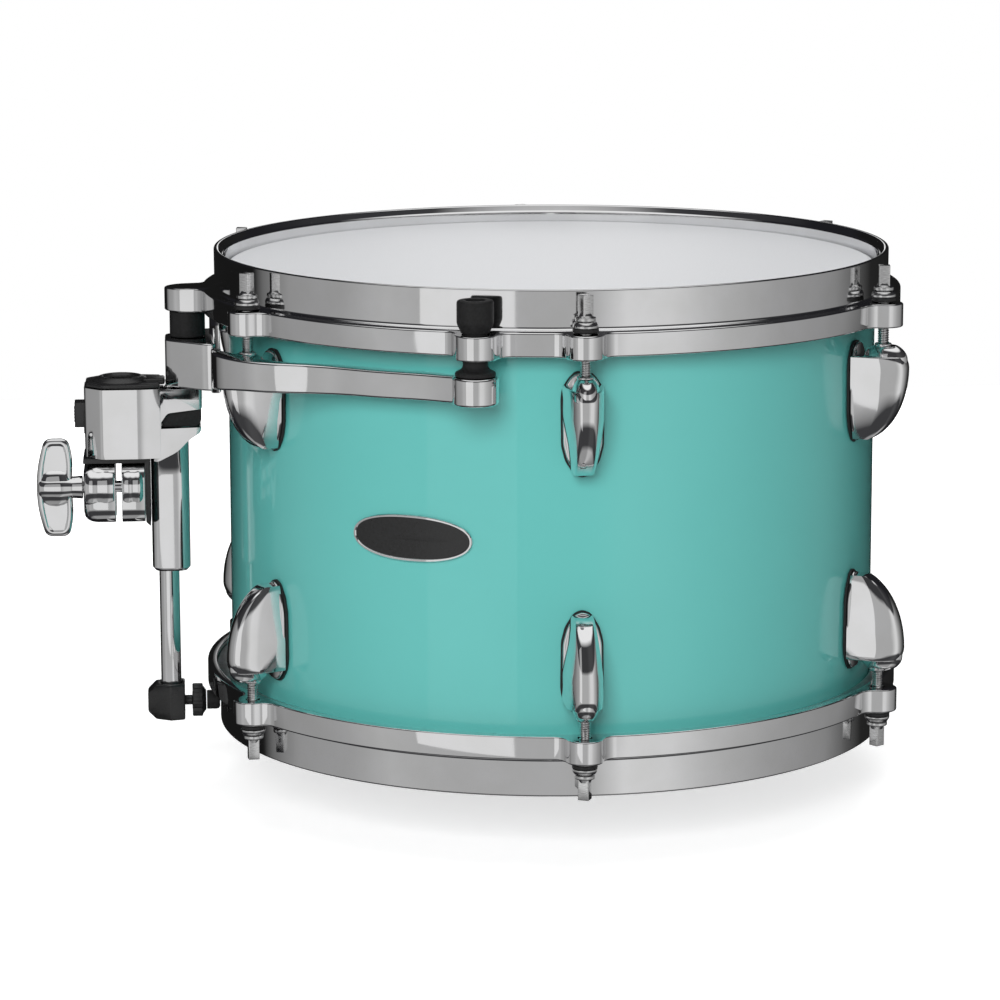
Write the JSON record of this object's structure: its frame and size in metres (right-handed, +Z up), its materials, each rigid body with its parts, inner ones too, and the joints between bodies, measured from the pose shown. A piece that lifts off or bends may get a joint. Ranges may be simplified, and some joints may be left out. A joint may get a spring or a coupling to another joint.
{
  "type": "rack tom drum",
  "caption": "Rack tom drum with lacquered wooden shell, die-cast hoops, tension rods and lugs, and a suspension mount with clamp, wing screw and stabiliser.",
  "frame": {"origin": "middle of the bottom head's outer face, on the drum's axis; the bottom rim stands 7.7 mm lower", "axes": "+Z up along the drum's axis, towards the batter head; -X towards the suspension mount and its clamp"},
  "size_m": [0.4034, 0.354, 0.224],
  "materials": {
    "shell_lacquer": "high-gloss turquoise lacquer",
    "coated_film": "coated white polyester film",
    "hoop_chrome": "mirror chrome on die-cast zinc",
    "lug_chrome": "mirror chrome on die-cast zinc",
    "rod_chrome": "chromed steel",
    "fastener_steel": "plated steel",
    "mount_chrome": "mirror chrome on die-cast zinc and steel",
    "black_rubber": "satin black rubber",
    "black_plastic": "satin black moulded plastic"
  },
  "bodies": {
    "drum": {"shell": "shell_lacquer", "top_head": "coated_film", "bottom_head": "coated_film", "top_hoop": "hoop_chrome", "bottom_hoop": "hoop_chrome", "upper_lug_1": "lug_chrome", "upper_lug_2": "lug_chrome", "upper_lug_3": "lug_chrome", "upper_lug_4": "lug_chrome", "upper_lug_5": "lug_chrome", "upper_lug_6": "lug_chrome", "lower_lug_1": "lug_chrome", "lower_lug_2": "lug_chrome", "lower_lug_3": "lug_chrome", "lower_lug_4": "lug_chrome", "lower_lug_5": "lug_chrome", "lower_lug_6": "lug_chrome", "air_vent": "black_rubber", "arc_bar": "mount_chrome", "front_bushing": "black_rubber", "front_bushing_bolt": "fastener_steel", "rear_bushing": "black_rubber", "rear_bushing_bolt": "fastener_steel", "middle_bushing": "black_rubber", "mount_bracket": "mount_chrome", "bracket_cap": "black_plastic", "bracket_insert": "black_rubber", "clamp_seat": "mount_chrome", "clamp_liner": "black_plastic"},
    "upper_washer_1": {"upper_washer_1": "fastener_steel"},
    "upper_rod_1": {"upper_rod_1": "rod_chrome"},
    "upper_washer_2": {"upper_washer_2": "fastener_steel"},
    "upper_rod_2": {"upper_rod_2": "rod_chrome"},
    "upper_washer_3": {"upper_washer_3": "fastener_steel"},
    "upper_rod_3": {"upper_rod_3": "rod_chrome"},
    "upper_washer_4": {"upper_washer_4": "fastener_steel"},
    "upper_rod_4": {"upper_rod_4": "rod_chrome"},
    "upper_washer_5": {"upper_washer_5": "fastener_steel"},
    "upper_rod_5": {"upper_rod_5": "rod_chrome"},
    "upper_washer_6": {"upper_washer_6": "fastener_steel"},
    "upper_rod_6": {"upper_rod_6": "rod_chrome"},
    "lower_washer_1": {"lower_washer_1": "fastener_steel"},
    "lower_rod_1": {"lower_rod_1": "rod_chrome"},
    "lower_washer_2": {"lower_washer_2": "fastener_steel"},
    "lower_rod_2": {"lower_rod_2": "rod_chrome"},
    "lower_washer_3": {"lower_washer_3": "fastener_steel"},
    "lower_rod_3": {"lower_rod_3": "rod_chrome"},
    "lower_washer_4": {"lower_washer_4": "fastener_steel"},
    "lower_rod_4": {"lower_rod_4": "rod_chrome"},
    "lower_washer_5": {"lower_washer_5": "fastener_steel"},
    "lower_rod_5": {"lower_rod_5": "rod_chrome"},
    "lower_washer_6": {"lower_washer_6": "fastener_steel"},
    "lower_rod_6": {"lower_rod_6": "rod_chrome"},
    "clamp_jaw": {"clamp_jaw": "mount_chrome"},
    "wing_screw": {"wing_screw": "mount_chrome"},
    "lock_button": {"lock_button": "black_plastic"},
    "stabiliser": {"stabiliser_rod": "mount_chrome", "foot_block": "black_plastic"},
    "stabiliser_tip": {"stabiliser_tip": "black_rubber"},
    "stabiliser_screw": {"stabiliser_screw": "black_plastic"}
  },
  "joints": [
    {"name": "upper_washer_1_lift", "type": "slide", "parent": "drum", "child": "upper_washer_1", "axis": [0, 0, 1], "range_m": [0, 0.0105]},
    {"name": "upper_rod_1_turn", "type": "hinge", "parent": "upper_washer_1", "child": "upper_rod_1", "pos_m": [0, -0.165, 0.204], "axis": [0, 0, 1], "range_deg": [0, 3600]},
    {"name": "upper_washer_2_lift", "type": "slide", "parent": "drum", "child": "upper_washer_2", "axis": [0, 0, 1], "range_m": [0, 0.0105]},
    {"name": "upper_rod_2_turn", "type": "hinge", "parent": "upper_washer_2", "child": "upper_rod_2", "pos_m": [0.14289, -0.0825, 0.204], "axis": [0, 0, 1], "range_deg": [0, 3600]},
    {"name": "upper_washer_3_lift", "type": "slide", "parent": "drum", "child": "upper_washer_3", "axis": [0, 0, 1], "range_m": [0, 0.0105]},
    {"name": "upper_rod_3_turn", "type": "hinge", "parent": "upper_washer_3", "child": "upper_rod_3", "pos_m": [0.14289, 0.0825, 0.204], "axis": [0, 0, 1], "range_deg": [0, 3600]},
    {"name": "upper_washer_4_lift", "type": "slide", "parent": "drum", "child": "upper_washer_4", "axis": [0, 0, 1], "range_m": [0, 0.0105]},
    {"name": "upper_rod_4_turn", "type": "hinge", "parent": "upper_washer_4", "child": "upper_rod_4", "pos_m": [0, 0.165, 0.204], "axis": [0, 0, 1], "range_deg": [0, 3600]},
    {"name": "upper_washer_5_lift", "type": "slide", "parent": "drum", "child": "upper_washer_5", "axis": [0, 0, 1], "range_m": [0, 0.0105]},
    {"name": "upper_rod_5_turn", "type": "hinge", "parent": "upper_washer_5", "child": "upper_rod_5", "pos_m": [-0.14289, 0.0825, 0.204], "axis": [0, 0, 1], "range_deg": [0, 3600]},
    {"name": "upper_washer_6_lift", "type": "slide", "parent": "drum", "child": "upper_washer_6", "axis": [0, 0, 1], "range_m": [0, 0.0105]},
    {"name": "upper_rod_6_turn", "type": "hinge", "parent": "upper_washer_6", "child": "upper_rod_6", "pos_m": [-0.14289, -0.0825, 0.204], "axis": [0, 0, 1], "range_deg": [0, 3600]},
    {"name": "lower_washer_1_lift", "type": "slide", "parent": "drum", "child": "lower_washer_1", "axis": [0, 0, -1], "range_m": [0, 0.0105]},
    {"name": "lower_rod_1_turn", "type": "hinge", "parent": "lower_washer_1", "child": "lower_rod_1", "pos_m": [0, -0.165, 0.0046], "axis": [0, 0, -1], "range_deg": [0, 3600]},
    {"name": "lower_washer_2_lift", "type": "slide", "parent": "drum", "child": "lower_washer_2", "axis": [0, 0, -1], "range_m": [0, 0.0105]},
    {"name": "lower_rod_2_turn", "type": "hinge", "parent": "lower_washer_2", "child": "lower_rod_2", "pos_m": [0.14289, -0.0825, 0.0046], "axis": [0, 0, -1], "range_deg": [0, 3600]},
    {"name": "lower_washer_3_lift", "type": "slide", "parent": "drum", "child": "lower_washer_3", "axis": [0, 0, -1], "range_m": [0, 0.0105]},
    {"name": "lower_rod_3_turn", "type": "hinge", "parent": "lower_washer_3", "child": "lower_rod_3", "pos_m": [0.14289, 0.0825, 0.0046], "axis": [0, 0, -1], "range_deg": [0, 3600]},
    {"name": "lower_washer_4_lift", "type": "slide", "parent": "drum", "child": "lower_washer_4", "axis": [0, 0, -1], "range_m": [0, 0.0105]},
    {"name": "lower_rod_4_turn", "type": "hinge", "parent": "lower_washer_4", "child": "lower_rod_4", "pos_m": [0, 0.165, 0.0046], "axis": [0, 0, -1], "range_deg": [0, 3600]},
    {"name": "lower_washer_5_lift", "type": "slide", "parent": "drum", "child": "lower_washer_5", "axis": [0, 0, -1], "range_m": [0, 0.0105]},
    {"name": "lower_rod_5_turn", "type": "hinge", "parent": "lower_washer_5", "child": "lower_rod_5", "pos_m": [-0.14289, 0.0825, 0.0046], "axis": [0, 0, -1], "range_deg": [0, 3600]},
    {"name": "lower_washer_6_lift", "type": "slide", "parent": "drum", "child": "lower_washer_6", "axis": [0, 0, -1], "range_m": [0, 0.0105]},
    {"name": "lower_rod_6_turn", "type": "hinge", "parent": "lower_washer_6", "child": "lower_rod_6", "pos_m": [-0.14289, -0.0825, 0.0046], "axis": [0, 0, -1], "range_deg": [0, 3600]},
    {"name": "clamp_jaw_slide", "type": "slide", "parent": "drum", "child": "clamp_jaw", "axis": [-1, 0, 0], "range_m": [-0.0012, 0.002]},
    {"name": "wing_screw_turn", "type": "hinge", "parent": "clamp_jaw", "child": "wing_screw", "pos_m": [-0.2236, -0.01135, 0.1065], "axis": [-1, 0, 0], "range_deg": [-346, 577]},
    {"name": "lock_button_push", "type": "slide", "parent": "drum", "child": "lock_button", "axis": [1, 0, 0], "range_m": [0, 0.003], "stiffness_N_per_m": 300, "springref_m": -0.002},
    {"name": "stabiliser_slide", "type": "slide", "parent": "drum", "child": "stabiliser", "axis": [0, 0, 1], "range_m": [-0.03, 0.003]},
    {"name": "stabiliser_tip_slide", "type": "slide", "parent": "stabiliser", "child": "stabiliser_tip", "axis": [-1, 0, 0], "range_m": [0, 0.003]},
    {"name": "stabiliser_screw_turn", "type": "hinge", "parent": "stabiliser_tip", "child": "stabiliser_screw", "pos_m": [-0.1704, 0, 0.001], "axis": [-1, 0, 0], "range_deg": [0, 1351]}
  ],
  "couplings": [
    {"joint": "upper_rod_1_turn", "follows": "upper_washer_1_lift", "rad_per_m": 5938.7},
    {"joint": "upper_rod_2_turn", "follows": "upper_washer_2_lift", "rad_per_m": 5938.7},
    {"joint": "upper_rod_3_turn", "follows": "upper_washer_3_lift", "rad_per_m": 5938.7},
    {"joint": "upper_rod_4_turn", "follows": "upper_washer_4_lift", "rad_per_m": 5938.7},
    {"joint": "upper_rod_5_turn", "follows": "upper_washer_5_lift", "rad_per_m": 5938.7},
    {"joint": "upper_rod_6_turn", "follows": "upper_washer_6_lift", "rad_per_m": 5938.7},
    {"joint": "lower_rod_1_turn", "follows": "lower_washer_1_lift", "rad_per_m": 5938.7},
    {"joint": "lower_rod_2_turn", "follows": "lower_washer_2_lift", "rad_per_m": 5938.7},
    {"joint": "lower_rod_3_turn", "follows": "lower_washer_3_lift", "rad_per_m": 5938.7},
    {"joint": "lower_rod_4_turn", "follows": "lower_washer_4_lift", "rad_per_m": 5938.7},
    {"joint": "lower_rod_5_turn", "follows": "lower_washer_5_lift", "rad_per_m": 5938.7},
    {"joint": "lower_rod_6_turn", "follows": "lower_washer_6_lift", "rad_per_m": 5938.7},
    {"joint": "wing_screw_turn", "follows": "clamp_jaw_slide", "rad_per_m": 5026.5},
    {"joint": "stabiliser_screw_turn", "follows": "stabiliser_tip_slide", "rad_per_m": 7854}
  ]
}
